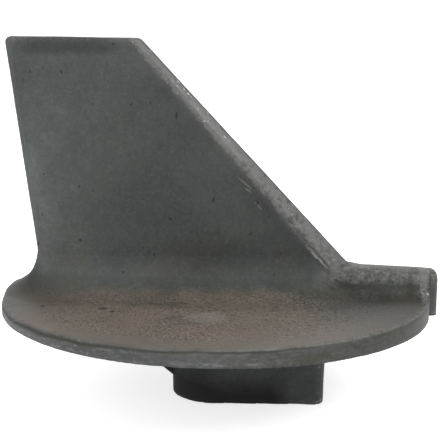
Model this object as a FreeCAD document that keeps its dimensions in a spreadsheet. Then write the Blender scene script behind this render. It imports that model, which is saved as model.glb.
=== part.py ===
import FreeCAD, Part

import math
import os

import Sketcher

# Trim tab anode: one zinc casting with a fin, a round plate, an arm and a bolt boss.
# The fin points up, the arm points along +X, and the origin is the mouth of the bolt hole,
# in the middle of the boss's end face.

NODE = "trim_tab_anode"

# Driving dimensions, millimetres and degrees
SIZES = [
    # round plate: its top rises a little from the trailing side to the arm
    ("plate_radius", 48.4),
    ("plate_thickness", 3.6),
    ("plate_rise_angle", 1.1),
    ("rim_top_chamfer", 0.5),
    ("rim_lower_chamfer", 0.3),
    # fin, in side view: raked trailing edge, swept leading edge, level tip
    ("fin_height", 57.1),
    ("fin_aft_setback", 8.7),
    ("fin_rake_angle", 8.8),
    ("fin_nose_setback", 10.5),
    ("fin_sweep_angle", 46.1),
    # fin, in plan: rounded trailing edge, flat sides, bevelled nose
    ("fin_foot_width", 8.4),
    ("fin_tip_width", 3.8),
    ("fin_aft_flat", 0.4),
    ("nose_angle", 37.0),
    ("nose_radius", 1.2),
    ("nose_shoulder_radius", 2.5),
    ("fin_tip_radius", 1.4),
    ("fin_root_radius", 10.0),
    # core inside the fin's foot, which carries the root blend
    ("core_inset", 0.05),
    ("core_nose_flat", 0.7),
    ("core_height_ratio", 1.3),
    # arm, from the fin's foot to the rim
    ("arm_height", 7.6),
    ("arm_droop_angle", 1.2),
    ("arm_width", 9.2),
    ("arm_top_radius", 3.4),
    ("arm_root_radius", 3.5),
    # tip of the arm, which passes the rim
    ("arm_tip_overhang", 1.7),
    ("arm_tip_width", 7.8),
    ("arm_tip_top_radius", 3.0),
    ("arm_tip_end_radius", 1.3),
    # bolt boss: round about the hole, and a tongue towards the arm
    ("boss_height", 20.5),
    ("boss_radius", 9.7),
    ("boss_reach", 25.2),
    ("boss_nose_width", 15.6),
    ("boss_corner_radius", 2.4),
    ("boss_draft_angle", 0.8),
    ("boss_end_radius", 0.6),
    ("boss_root_radius", 2.0),
    # gusset behind the boss
    ("gusset_reach", 30.5),
    ("gusset_foot", 3.6),
    ("gusset_toe", 8.6),
    ("gusset_width", 7.0),
    ("gusset_edge_radius", 1.2),
    # tapped hole for the bolt
    ("bolt_diameter", 10.0),
    ("tap_drill_diameter", 8.5),
    ("bolt_hole_depth", 15.5),
    ("drill_point_angle", 118.0),
    ("countersink_angle", 90.0),
    # stock that is trimmed off, and how far a feature starts inside the one that carries it
    ("rim_stock", 20.0),
    ("root_overlap", 2.0),
]

doc = FreeCAD.newDocument(NODE)

sheet = doc.addObject("Spreadsheet::Sheet", "sizes")
for row, (alias, value) in enumerate(SIZES, start=1):
    sheet.set(f"A{row}", alias)
    sheet.set(f"B{row}", str(value))
    sheet.setAlias(f"B{row}", alias)
doc.recompute()

# Heights and places that follow from the driving dimensions

UNDERSIDE = "sizes.boss_height"
PLATE_TOP = "(sizes.boss_height + sizes.plate_thickness)"
STOCK_EDGE = "(sizes.plate_radius + sizes.rim_stock)"
STOCK_RISE = f"({STOCK_EDGE} * tan(sizes.plate_rise_angle * 1 deg))"
FIN_TIP = f"({PLATE_TOP} + sizes.fin_height)"
FIN_AFT = "(sizes.plate_radius - sizes.fin_aft_setback)"
FIN_NOSE = "(sizes.plate_radius - sizes.fin_nose_setback)"
TRAILING_RADIUS = "((sizes.fin_tip_width - sizes.fin_aft_flat) / 2)"
FIN_START = f"({PLATE_TOP} - sizes.root_overlap)"
INSIDE_PLATE = "(sizes.boss_height + sizes.plate_thickness / 2)"
ARM_START = "(sizes.boss_radius)"
ARM_END = "(sizes.plate_radius + sizes.arm_tip_overhang)"
ARM_FALL = "tan(sizes.arm_droop_angle * 1 deg)"


def number(expression):
    """Value of an expression in the sheet's sizes."""
    value = sheet.evalExpression(expression.replace("sizes.", ""))
    return float(getattr(value, "Value", value))


def plate_top_at(x):
    """Height of the plate's sloping top at a place along X."""
    return number(PLATE_TOP) + x * math.tan(math.radians(number("sizes.plate_rise_angle")))


def new_body(name):
    body = doc.addObject("PartDesign::Body", name)
    body.Label = name
    return body


def new_sketch(body, name, role, height=None):
    """Sketch on one of the body's own origin planes, at a height above it if one is given."""
    plane = next(item for item in body.Origin.OriginFeatures if item.Role == role)
    sketch = body.newObject("Sketcher::SketchObject", name)
    sketch.AttachmentSupport = [(plane, "")]
    sketch.MapMode = "FlatFace"
    if height is not None:
        sketch.setExpression("AttachmentOffset.Base.z", height)
    return sketch


def place(sketch, geometry, point, x, y):
    """Ties a point of the sketch to two expressions, measured from the sketch's origin."""
    for kind, expression in (("DistanceX", x), ("DistanceY", y)):
        constraint = Sketcher.Constraint(kind, -1, 1, geometry, point, number(expression))
        index = sketch.addConstraint(constraint)
        sketch.setExpression(f"Constraints[{index}]", expression)


def straight_outline(sketch, corners):
    """Closed outline of straight lines through corners given as pairs of expressions."""
    points = [FreeCAD.Vector(number(x), number(y), 0) for x, y in corners]
    count = len(points)
    for index in range(count):
        sketch.addGeometry(Part.LineSegment(points[index], points[(index + 1) % count]))
    for index in range(count):
        following = (index + 1) % count
        sketch.addConstraint(Sketcher.Constraint("Coincident", index, 2, following, 1))
    for index, (x, y) in enumerate(corners):
        place(sketch, index, 1, x, y)


def pad(body, name, sketch, length, symmetric=False):
    feature = body.newObject("PartDesign::Pad", name)
    feature.Profile = sketch
    feature.setExpression("Length", length)
    if symmetric:
        feature.SideType = "Symmetric"
    doc.recompute()
    return feature


def join(body, name, others, kind="Fuse"):
    """Joins other bodies' solids to this one, or keeps only what they have in common."""
    feature = body.newObject("PartDesign::Boolean", name)
    feature.Type = kind
    feature.addObjects(others)
    doc.recompute()
    return feature


def samples(edge):
    """Three points inside an edge."""
    span = edge.LastParameter - edge.FirstParameter
    return [edge.valueAt(edge.FirstParameter + span * share) for share in (0.1, 0.5, 0.9)]


def edges_where(base, wanted):
    """Names of the edges whose sample points all pass the test."""
    edges = enumerate(base.Shape.Edges, start=1)
    return [f"Edge{index}" for index, edge in edges if all(wanted(p) for p in samples(edge))]


def round_edges(body, name, base, wanted, radius):
    """Rounds the edges that pass the test."""
    feature = body.newObject("PartDesign::Fillet", name)
    feature.Base = (base, edges_where(base, wanted))
    feature.setExpression("Radius", radius)
    doc.recompute()
    return feature


def chamfer_edges(body, name, base, wanted, size):
    """Chamfers the edges that pass the test."""
    feature = body.newObject("PartDesign::Chamfer", name)
    feature.Base = (base, edges_where(base, wanted))
    feature.setExpression("Size", size)
    doc.recompute()
    return feature


# Plate stock, which the fin's and the arm's root blends are both carried on

TOUCH = 1e-3


def on_plate_top(point):
    return abs(point.z - plate_top_at(point.x)) < TOUCH


def inside_stock(point):
    return max(abs(point.x), abs(point.y)) < number(STOCK_EDGE) - TOUCH


def plate_stock(body):
    """Slab that is wider than the plate, with the plate's underside and sloping top."""
    profile = new_sketch(body, "PlateProfile", "XZ_Plane")
    straight_outline(profile, [
        (f"-{STOCK_EDGE}", UNDERSIDE),
        (STOCK_EDGE, UNDERSIDE),
        (STOCK_EDGE, f"{PLATE_TOP} + {STOCK_RISE}"),
        (f"-{STOCK_EDGE}", f"{PLATE_TOP} - {STOCK_RISE}"),
    ])
    return pad(body, "PlateStock", profile, f"2 * {STOCK_EDGE}", symmetric=True)


# Fin

def fin_line(height):
    """Half width, trailing end and nose crest of the fin at a height, as expressions."""
    above = f"({height} - {PLATE_TOP})"
    taper = f"{above} / sizes.fin_height"
    half = f"((sizes.fin_foot_width + (sizes.fin_tip_width - sizes.fin_foot_width) * {taper}) / 2)"
    aft = f"(-{FIN_AFT} - {above} * tan(sizes.fin_rake_angle * 1 deg))"
    crest = f"({FIN_NOSE} - {above} / tan(sizes.fin_sweep_angle * 1 deg))"
    return half, aft, crest


def side_view(body, name, aft, nose, bottom, top):
    """Side view of a fin as a prism: aft and nose are pairs of places, low and high."""
    sketch = new_sketch(body, f"{name}Profile", "XZ_Plane")
    straight_outline(sketch, [
        (aft[0], bottom),
        (nose[0], bottom),
        (nose[1], top),
        (aft[1], top),
    ])
    return pad(body, name, sketch, "2 * sizes.fin_foot_width", symmetric=True)


def taper_wedge(name, low_half, high_half, bottom, top):
    """Long wedge with the fin's tapering sides."""
    body = new_body(name)
    sketch = new_sketch(body, f"{name}_profile", "YZ_Plane")
    straight_outline(sketch, [
        (f"-{low_half}", bottom),
        (low_half, bottom),
        (high_half, top),
        (f"-{high_half}", top),
    ])
    pad(body, f"{name}_pad", sketch, f"2 * {STOCK_EDGE}", symmetric=True)
    return body


def nose_wedge():
    """Long prism with the fin's bevelled nose, leaning back along the leading edge."""
    body = new_body("nose_wedge")
    crest = fin_line(FIN_START)[2]
    side = "(sizes.fin_foot_width)"
    shoulder = f"({crest} - {side} / tan(sizes.nose_angle * 1 deg))"
    sketch = new_sketch(body, "NosePlan", "XY_Plane", FIN_START)
    straight_outline(sketch, [
        (f"-2 * {STOCK_EDGE}", f"-{side}"),
        (shoulder, f"-{side}"),
        (crest, "0"),
        (shoulder, side),
        (f"-2 * {STOCK_EDGE}", side),
    ])
    prism = pad(body, "NosePrism", sketch, f"{FIN_TIP} - {FIN_START}")
    prism.UseCustomVector = True
    prism.AlongSketchNormal = True
    prism.setExpression("Direction.x", "-1 / tan(sizes.fin_sweep_angle * 1 deg)")
    prism.setExpression("Direction.y", "0")
    prism.setExpression("Direction.z", "1")
    doc.recompute()
    return body


def round_trailing_edges(body, name, base, inset, radius):
    """Rounds the two upright edges of a fin whose trailing face lies in by the inset."""
    rake = math.tan(math.radians(number("sizes.fin_rake_angle")))

    def on_trailing_edge(point):
        aft = -number(FIN_AFT) - (point.z - number(PLATE_TOP)) * rake + inset
        return abs(point.x - aft) < TOUCH and abs(point.y) > number(TRAILING_RADIUS)

    return round_edges(body, name, base, on_trailing_edge, radius)


def make_fin():
    """Fin alone, from a little inside the plate up to its tip."""
    low_half, low_aft, _ = fin_line(FIN_START)
    high_half, high_aft, _ = fin_line(FIN_TIP)
    taper = taper_wedge("fin_taper", low_half, high_half, FIN_START, FIN_TIP)
    nose = nose_wedge()
    body = new_body("fin")
    side_view(body, "FinSide", (low_aft, high_aft), (STOCK_EDGE, STOCK_EDGE), FIN_START, FIN_TIP)
    join(body, "TaperedFin", [taper], "Common")
    fin = join(body, "NosedFin", [nose], "Common")

    sweep = math.tan(math.radians(number("sizes.fin_sweep_angle")))
    nose_slope = math.tan(math.radians(number("sizes.nose_angle")))

    def behind_crest(point):
        above = point.z - number(PLATE_TOP)
        return number(FIN_NOSE) - above / sweep - point.x

    def between_ends(point):
        return number(FIN_START) + TOUCH < point.z < number(FIN_TIP) - TOUCH

    def on_crest(point):
        return between_ends(point) and abs(point.y) < TOUCH and abs(behind_crest(point)) < TOUCH

    trailing = round_trailing_edges(body, "TrailingEdges", fin, 0, TRAILING_RADIUS)
    crest = round_edges(body, "NoseCrest", trailing, on_crest, "sizes.nose_radius")

    def on_shoulder(point):
        setback = abs(point.y) / nose_slope
        off_crest = abs(point.y) > number("sizes.nose_radius")
        return between_ends(point) and off_crest and abs(behind_crest(point) - setback) < TOUCH

    shoulder = round_edges(body, "NoseShoulders", crest, on_shoulder, "sizes.nose_shoulder_radius")

    def on_tip(point):
        return abs(point.z - number(FIN_TIP)) < TOUCH

    round_edges(body, "TipEdge", shoulder, on_tip, "sizes.fin_tip_radius")
    return body


def make_fin_root():
    """Plate stock with the fin's large root blend, carried on the fin's core."""
    core_top = f"({PLATE_TOP} + sizes.core_height_ratio * sizes.fin_root_radius)"
    radius = "(sizes.fin_foot_width / 2 - sizes.core_nose_flat)"
    flat = "sizes.core_nose_flat * cos(sizes.nose_angle * 1 deg)"
    setback = f"(({radius} + {flat}) / sin(sizes.nose_angle * 1 deg) - {radius} + sizes.core_inset)"
    low_half, low_aft, low_crest = fin_line(FIN_START)
    high_half, high_aft, high_crest = fin_line(core_top)
    taper = taper_wedge("core_taper", f"({low_half} - sizes.core_inset)",
                        f"({high_half} - sizes.core_inset)", FIN_START, core_top)
    body = new_body("fin_root")
    side_view(body, "CoreSide",
              (f"{low_aft} + sizes.core_inset", f"{high_aft} + sizes.core_inset"),
              (f"{low_crest} - {setback}", f"{high_crest} - {setback}"), FIN_START, core_top)
    core = join(body, "Core", [taper], "Common")
    sweep = math.tan(math.radians(number("sizes.fin_sweep_angle")))

    def on_core_nose(point):
        nose = number(FIN_NOSE) - (point.z - number(PLATE_TOP)) / sweep - number(setback)
        return abs(point.x - nose) < TOUCH and abs(point.y) > number(radius)

    core = round_edges(body, "CoreNose", core, on_core_nose, radius)
    round_trailing_edges(body, "CoreTrailingEdges", core, number("sizes.core_inset"),
                         f"{TRAILING_RADIUS} - sizes.core_inset")
    stock = plate_stock(body)

    def on_fin_root(point):
        return on_plate_top(point) and inside_stock(point)

    round_edges(body, "FinRootBlend", stock, on_fin_root, "sizes.fin_root_radius")
    return body


# Arm

def arm_profile(body, name, start, end):
    """Side view of the arm, from the plate's underside to its drooping top."""
    sketch = new_sketch(body, name, "XZ_Plane")
    top = f"{PLATE_TOP} + sizes.arm_height"
    straight_outline(sketch, [
        (start, UNDERSIDE),
        (end, UNDERSIDE),
        (end, f"{top} - {end} * {ARM_FALL}"),
        (start, f"{top} - {start} * {ARM_FALL}"),
    ])
    return sketch


def arm_top_at(x):
    fall = math.tan(math.radians(number("sizes.arm_droop_angle")))
    return number(PLATE_TOP) + number("sizes.arm_height") - x * fall


def make_arm_root():
    """Plate stock with the round-topped arm and its root blend."""
    body = new_body("arm_root")
    profile = arm_profile(body, "ArmProfile", ARM_START, STOCK_EDGE)
    arm = pad(body, "Arm", profile, "sizes.arm_width", symmetric=True)

    def on_arm_top_edge(point):
        at_side = abs(abs(point.y) - number("sizes.arm_width") / 2) < TOUCH
        return at_side and abs(point.z - arm_top_at(point.x)) < TOUCH

    round_edges(body, "ArmTop", arm, on_arm_top_edge, "sizes.arm_top_radius")
    plate_stock(body)

    def on_arm_root(point):
        return on_plate_top(point) and inside_stock(point)

    round_edges(body, "ArmRootBlend", body.Tip, on_arm_root, "sizes.arm_root_radius")
    return body


def make_arm_tip():
    """Narrower tip of the arm, which reaches past the plate's rim."""
    body = new_body("arm_tip")
    start = "(sizes.plate_radius - sizes.arm_width)"
    profile = arm_profile(body, "TipProfile", start, ARM_END)
    tip = pad(body, "Tip", profile, "sizes.arm_tip_width", symmetric=True)

    def on_top_edge(point):
        at_side = abs(abs(point.y) - number("sizes.arm_tip_width") / 2) < TOUCH
        return at_side and abs(point.z - arm_top_at(point.x)) < TOUCH

    rounded = round_edges(body, "TipTop", tip, on_top_edge, "sizes.arm_tip_top_radius")

    def on_end(point):
        """On the end face, but for its lower edge, which the mould leaves square."""
        return abs(point.x - number(ARM_END)) < TOUCH and point.z > number(UNDERSIDE) + TOUCH

    round_edges(body, "TipEnd", rounded, on_end, "sizes.arm_tip_end_radius")
    return body


# Rim

def turn_rim(body):
    """Turns the stock off at the rim, through the plate and the root blends."""
    sketch = new_sketch(body, "RimProfile", "XZ_Plane")
    outer = f"(2 * {STOCK_EDGE})"
    lower = f"({UNDERSIDE} - sizes.root_overlap)"
    upper = f"({PLATE_TOP} + sizes.fin_root_radius)"
    straight_outline(sketch, [
        ("sizes.plate_radius", lower),
        (outer, lower),
        (outer, upper),
        ("sizes.plate_radius", upper),
    ])
    groove = body.newObject("PartDesign::Groove", "RimTurning")
    groove.Profile = sketch
    groove.ReferenceAxis = (sketch, ["V_Axis"])
    groove.Angle = 360
    doc.recompute()

    def on_rim(point):
        return abs(math.hypot(point.x, point.y) - number("sizes.plate_radius")) < TOUCH

    def on_lower_rim(point):
        return on_rim(point) and abs(point.z - number(UNDERSIDE)) < TOUCH

    def on_upper_rim(point):
        return on_rim(point) and point.z > plate_top_at(point.x) - TOUCH

    lower = chamfer_edges(body, "LowerRim", groove, on_lower_rim, "sizes.rim_lower_chamfer")
    return chamfer_edges(body, "UpperRim", lower, on_upper_rim, "sizes.rim_top_chamfer")


# Bolt boss and gusset

def boss_plan(body):
    """Plan of the boss: round about the bolt hole, with straight sides to a blunt nose."""
    sketch = new_sketch(body, "BossPlan", "XY_Plane")
    radius = number("sizes.boss_radius")
    reach = number("sizes.boss_reach")
    half = number("sizes.boss_nose_width") / 2
    lean = math.asin(radius / math.hypot(reach, half)) - math.atan2(half, reach)
    touch_x = radius * math.sin(lean)
    touch_y = radius * math.cos(lean)
    circle = Part.Circle(FreeCAD.Vector(0, 0, 0), FreeCAD.Vector(0, 0, 1), radius)
    sketch.addGeometry(Part.ArcOfCircle(circle, math.pi / 2 - lean, 3 * math.pi / 2 + lean))
    corners = [
        FreeCAD.Vector(touch_x, -touch_y, 0),
        FreeCAD.Vector(reach, -half, 0),
        FreeCAD.Vector(reach, half, 0),
        FreeCAD.Vector(touch_x, touch_y, 0),
    ]
    for start, end in zip(corners, corners[1:]):
        sketch.addGeometry(Part.LineSegment(start, end))
    sketch.addConstraint(Sketcher.Constraint("Coincident", 0, 3, -1, 1))
    sketch.addConstraint(Sketcher.Constraint("Tangent", 0, 2, 1, 1))
    sketch.addConstraint(Sketcher.Constraint("Coincident", 1, 2, 2, 1))
    sketch.addConstraint(Sketcher.Constraint("Coincident", 2, 2, 3, 1))
    sketch.addConstraint(Sketcher.Constraint("Tangent", 3, 2, 0, 1))
    index = sketch.addConstraint(Sketcher.Constraint("Radius", 0, radius))
    sketch.setExpression(f"Constraints[{index}]", "sizes.boss_radius")
    place(sketch, 2, 1, "sizes.boss_reach", "-sizes.boss_nose_width / 2")
    place(sketch, 3, 1, "sizes.boss_reach", "sizes.boss_nose_width / 2")
    return sketch


def make_gusset():
    """Sloping gusset from the boss's round side to the plate's underside."""
    body = new_body("gusset")
    sketch = new_sketch(body, "GussetProfile", "XZ_Plane")
    straight_outline(sketch, [
        ("-sizes.gusset_reach", UNDERSIDE),
        ("-sizes.gusset_toe", "sizes.gusset_foot"),
        ("-sizes.gusset_toe", INSIDE_PLATE),
        ("-sizes.gusset_reach", INSIDE_PLATE),
    ])
    gusset = pad(body, "Gusset", sketch, "sizes.gusset_width", symmetric=True)

    def on_slope_edge(point):
        run = number("sizes.gusset_reach - sizes.gusset_toe")
        fall = number(f"{UNDERSIDE} - sizes.gusset_foot")
        slope = number(UNDERSIDE) - (point.x + number("sizes.gusset_reach")) * fall / run
        at_side = abs(abs(point.y) - number("sizes.gusset_width") / 2) < TOUCH
        return at_side and abs(point.z - slope) < TOUCH

    round_edges(body, "GussetEdges", gusset, on_slope_edge, "sizes.gusset_edge_radius")
    return body


def make_boss():
    """Bolt boss, up to and a little inside the plate."""
    body = new_body("boss")
    boss = pad(body, "Boss", boss_plan(body), INSIDE_PLATE)
    boss.setExpression("TaperAngle", "sizes.boss_draft_angle")
    doc.recompute()

    def on_nose_corner(point):
        inside = TOUCH < point.z < number(UNDERSIDE)
        return inside and point.x > number("sizes.boss_reach") and abs(point.y) > TOUCH

    corners = round_edges(body, "BossCorners", boss, on_nose_corner, "sizes.boss_corner_radius")

    def on_end_face(point):
        return abs(point.z) < TOUCH

    round_edges(body, "BossEnd", corners, on_end_face, "sizes.boss_end_radius")
    return body


def drill_bolt_hole(body):
    """Blind tapped hole in the boss's end face, on the plate's axis."""
    sketch = new_sketch(body, "BoltHolePlan", "XY_Plane")
    circle = Part.Circle(FreeCAD.Vector(0, 0, 0), FreeCAD.Vector(0, 0, 1),
                         number("sizes.tap_drill_diameter") / 2)
    sketch.addGeometry(circle)
    sketch.addConstraint(Sketcher.Constraint("Coincident", 0, 3, -1, 1))
    index = sketch.addConstraint(Sketcher.Constraint("Diameter", 0, 2 * circle.Radius))
    sketch.setExpression(f"Constraints[{index}]", "sizes.tap_drill_diameter")
    doc.recompute()
    hole = body.newObject("PartDesign::Hole", "BoltHole")
    hole.Profile = sketch
    hole.Reversed = True
    hole.DepthType = "Dimension"
    hole.DrillPoint = "Angled"
    hole.HoleCutType = "Countersink"
    hole.setExpression("Diameter", "sizes.tap_drill_diameter")
    hole.setExpression("Depth", "sizes.bolt_hole_depth")
    hole.setExpression("DrillPointAngle", "sizes.drill_point_angle")
    hole.setExpression("HoleCutDiameter", "sizes.bolt_diameter")
    hole.setExpression("HoleCutCountersinkAngle", "sizes.countersink_angle")
    doc.recompute()
    return hole


# Casting: the plate with both root blends is turned at the rim, and the rest is joined to it

fin = make_fin()
fin_root = make_fin_root()
arm_root = make_arm_root()
arm_tip = make_arm_tip()
boss = make_boss()
gusset = make_gusset()

rough_plate = doc.addObject("Part::MultiFuse", "rough_plate")
rough_plate.Shapes = [fin_root, arm_root]
rough_plate.Refine = True
doc.recompute()

anode = new_body(NODE)
anode.BaseFeature = rough_plate
doc.recompute()
turn_rim(anode)
join(anode, "FinBlade", [fin])
join(anode, "ArmTip", [arm_tip])
join(anode, "BossGusset", [gusset])
joined = join(anode, "BoltBoss", [boss])


def on_boss_root(point):
    in_front = point.x > -number("sizes.boss_radius")
    inside_rim = math.hypot(point.x, point.y) < number("sizes.plate_radius - 2 * sizes.arm_width")
    return in_front and inside_rim and abs(point.z - number(UNDERSIDE)) < TOUCH


round_edges(anode, "BossRoot", joined, on_boss_root, "sizes.boss_root_radius")
undrilled = anode.Tip.Shape.Volume
drill_bolt_hole(anode)

# Checks and export

for item in doc.Objects:
    if "Invalid" in item.State or "Error" in item.State:
        raise RuntimeError(f"{item.Name} is {item.State}")
shape = anode.Shape
if shape.isNull() or not shape.isValid() or len(shape.Solids) != 1:
    raise RuntimeError(f"{NODE} is not one valid solid")
if not shape.Volume < undrilled:
    raise RuntimeError("the bolt hole cuts nothing")

os.makedirs("parts", exist_ok=True)
shape.exportStep(f"parts/{NODE}.step")
box = shape.BoundBox
print(NODE, "volume", round(shape.Volume, 1), "box", box)
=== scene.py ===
import math
from collections import namedtuple

import bmesh
import bpy
from mathutils import Matrix, Vector


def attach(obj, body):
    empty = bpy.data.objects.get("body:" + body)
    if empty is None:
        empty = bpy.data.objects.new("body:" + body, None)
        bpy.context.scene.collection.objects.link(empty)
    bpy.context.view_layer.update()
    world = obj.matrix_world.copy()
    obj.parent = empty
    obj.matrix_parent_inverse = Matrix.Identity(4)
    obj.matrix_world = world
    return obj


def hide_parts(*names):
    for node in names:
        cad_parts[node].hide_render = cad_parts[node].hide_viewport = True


# A zinc trim tab anode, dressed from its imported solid: cast skin, worn edges and a tapped hole.

bl_info = {
    "name": "Trim Tab Anode",
    "version": (1, 0, 0),
    "blender": (4, 5, 0),
    "location": "View3D > Sidebar > Anode",
    "description": "Cast zinc skin, bolt thread and studio stage for a trim tab anode",
    "category": "Object",
}

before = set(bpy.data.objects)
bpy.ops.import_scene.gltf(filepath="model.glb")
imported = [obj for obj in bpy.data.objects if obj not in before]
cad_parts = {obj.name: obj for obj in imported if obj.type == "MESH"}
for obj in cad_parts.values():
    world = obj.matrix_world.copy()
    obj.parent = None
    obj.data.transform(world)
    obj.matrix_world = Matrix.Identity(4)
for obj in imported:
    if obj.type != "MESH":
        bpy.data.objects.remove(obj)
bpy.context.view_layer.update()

CASTING = "trim_tab_anode"
BODY = "root"
ZINC = "cast_zinc_skin"

# Where the casting's own forms lie, in metres and radians
PLATE_TOP = 0.0241
PLATE_RISE = math.radians(1.1)
PLATE_RADIUS = 0.0484
FIN_HEIGHT = 0.0571
NOSE_FOOT = 0.0379
NOSE_SWEEP = math.radians(46.1)
NOSE_ANGLE = math.radians(37.0)
FIN_FOOT_HALF = 0.0042
FIN_TIP_HALF = 0.0019
AFT_FOOT = -0.0397
AFT_RAKE = math.radians(8.8)
PLATE_UNDERSIDE = 0.0205
BORE_RADIUS = 0.00425

# Sockets of a Mix node that mixes colours, and where an oval's soft edge starts and ends
MIX_AMOUNT, MIX_FIRST, MIX_SECOND, MIX_RESULT = 0, 6, 7, 2
OVAL_FADE = (0.3, 1.3)

# The photograph's width and the camera's focal length, both in its pixels
PHOTO_WIDTH = 440.0
FOCAL_LENGTH = 1000.0
SENSOR_WIDTH = 36.0

# What the floor adds to its own colour where the camera sees it
FLOOR_GLOW = 0.68

# Smoothing steps for the rubbed shoulder and for finding edges, the distance at which the
# solid's loose corners are joined, the grain's bump height, and the thread's steps to a turn
RUB_STEPS = 24
EDGE_STEPS = 9
WELD = 1e-7
BUMP_HEIGHT = 0.00009
THREAD_STEPS = 48

# Marks at set places: middle and half sizes in metres, tilt in degrees, and how much a cloud
# darkens. Those of the fin and the arm are in x and height over the plate, and those of the
# plate in x and y.
Mark = namedtuple("Mark", "u v half_u half_v tilt shade", defaults=(0.0, 0.0))

FIN_PATCHES = (
    Mark(-0.0387, 0.0350, 0.0019, 0.0008, tilt=100.0),
    Mark(-0.0358, 0.0415, 0.0023, 0.0007, tilt=-20.0),
    Mark(-0.0372, 0.0366, 0.0009, 0.0006),
)
FIN_CLOUDS = (
    Mark(-0.0115, 0.0180, 0.0130, 0.0065, shade=0.27),
    Mark(-0.0165, 0.0275, 0.0100, 0.0130, tilt=-20.0, shade=0.26),
    Mark(-0.0354, 0.0475, 0.0080, 0.0045, shade=0.16),
    Mark(0.0140, 0.0208, 0.0090, 0.0040, tilt=-42.0, shade=0.42),
    Mark(-0.0430, 0.0215, 0.0038, 0.0140, tilt=6.0, shade=-0.70),
    Mark(-0.0300, 0.0370, 0.0080, 0.0095, shade=-0.10),
    Mark(-0.0235, 0.0150, 0.0040, 0.0040, shade=0.12),
    Mark(0.0175, 0.0040, 0.0050, 0.0032, shade=0.12),
    Mark(-0.0310, 0.0160, 0.0055, 0.0085, shade=-0.08),
    Mark(0.0005, 0.0130, 0.0060, 0.0035, shade=-0.08),
)
FIN_SCRATCHES = (
    Mark(0.00635, 0.02525, 0.0026, 0.0002, tilt=-40.0),
    Mark(0.00945, 0.0202, 0.0013, 0.0002, tilt=-50.0),
    Mark(0.0071, 0.0237, 0.0009, 0.0003, tilt=-35.0),
)
FIN_PITS = (
    Mark(-0.0139, 0.0089, 0.0003, 0.00035),
    Mark(-0.0207, 0.0051, 0.0004, 0.0003, tilt=10.0),
    Mark(-0.0103, 0.0171, 0.0005, 0.0003, tilt=-30.0),
    Mark(-0.0092, 0.0402, 0.0003, 0.0009),
)
PLATE_CRACKS = (
    Mark(-0.0230, -0.0182, 0.0012, 0.0013, tilt=-15.0),
    Mark(-0.0206, -0.0204, 0.0006, 0.0010),
    Mark(-0.0363, -0.0170, 0.0005, 0.0010),
)
PLATE_PATCHES = (
    Mark(-0.0004, -0.0243, 0.0048, 0.0046),
)
PLATE_OCHRE = (
    Mark(0.0078, -0.0205, 0.0080, 0.0075, tilt=20.0),
    Mark(0.0230, -0.0215, 0.0060, 0.0040, tilt=20.0),
)
ARM_STAINS = (
    Mark(0.0195, 0.0014, 0.0010, 0.0006),
    Mark(0.0285, 0.0028, 0.0050, 0.0009, tilt=-6.0),
    Mark(0.0345, 0.0014, 0.0065, 0.0013, tilt=-8.0),
    Mark(0.0437, 0.0020, 0.0010, 0.0022),
    Mark(0.0462, 0.0006, 0.0024, 0.0010, tilt=-20.0),
)


# Small helpers that build node trees

class Value:
    """The number, vector or other result of a node, for use in plain sums."""

    def __init__(self, socket):
        self.socket = socket
        self.tree = socket.id_data

    def __add__(self, other):
        return calc("ADD", self, other)

    def __radd__(self, other):
        return calc("ADD", other, self)

    def __sub__(self, other):
        return calc("SUBTRACT", self, other)

    def __rsub__(self, other):
        return calc("SUBTRACT", other, self)

    def __mul__(self, other):
        return calc("MULTIPLY", self, other)

    def __rmul__(self, other):
        return calc("MULTIPLY", other, self)

    def __truediv__(self, other):
        return calc("DIVIDE", self, other)

    def __rtruediv__(self, other):
        return calc("DIVIDE", other, self)

    def __neg__(self):
        return calc("MULTIPLY", self, -1.0)

    def __abs__(self):
        return calc("ABSOLUTE", self)


def set_input(node, key, value):
    """Links a value to an input, or writes a plain number or colour on it."""
    socket = node.inputs[key]
    if isinstance(value, Value):
        value.tree.links.new(value.socket, socket)
        return
    if socket.type == "RGBA" and len(value) == 3:
        value = (*value, 1.0)
    socket.default_value = value


def add(tree, kind, inputs=None, **settings):
    """A new node with its settings and inputs."""
    node = tree.nodes.new(kind)
    for key, value in settings.items():
        setattr(node, key, value)
    for key, value in (inputs or {}).items():
        set_input(node, key, value)
    return node


def made(tree, kind, inputs=None, output=0, **settings):
    """What a new node gives out."""
    return Value(add(tree, kind, inputs, **settings).outputs[output])


def tree_of(values):
    """The node tree of the first result among plain numbers and results."""
    return next(value.tree for value in values if isinstance(value, Value))


def calc(operation, *values, clamp=False):
    """The result of a math node, given its inputs in order."""
    return made(tree_of(values), "ShaderNodeMath", dict(enumerate(values)),
                operation=operation, use_clamp=clamp)


def most(first, *others):
    """The largest of all values."""
    for other in others:
        first = calc("MAXIMUM", first, other)
    return first


def ramp(value, low, high):
    """0 below low, 1 above high, and a soft step between."""
    return made(value.tree, "ShaderNodeMapRange",
                {"Value": value, "From Min": low, "From Max": high},
                interpolation_type="SMOOTHSTEP")


def fall(value, low, high):
    """1 below low and 0 above high."""
    return 1.0 - ramp(value, low, high)


def between(value, low, high, soft):
    """1 between two limits, with soft steps centred on both."""
    return ramp(value, low - soft, low + soft) * fall(value, high - soft, high + soft)


def bell(value, centre, width):
    """1 at the centre, falling to 0 on both sides over the width."""
    off = (value - centre) / width
    return calc("EXPONENT", -(off * off))


def vector(*parts):
    """A vector from its parts along x, y and z."""
    return made(tree_of(parts), "ShaderNodeCombineXYZ", dict(enumerate(parts)))


def vector_math(operation, first, second, output=0):
    """The result of a vector math node on two vectors."""
    return made(first.tree, "ShaderNodeVectorMath", {0: first, 1: second}, output,
                operation=operation)


def stretched(first, factor):
    """A vector or colour times a factor."""
    return made(first.tree, "ShaderNodeVectorMath", {0: first, "Scale": factor},
                operation="SCALE")


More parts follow.
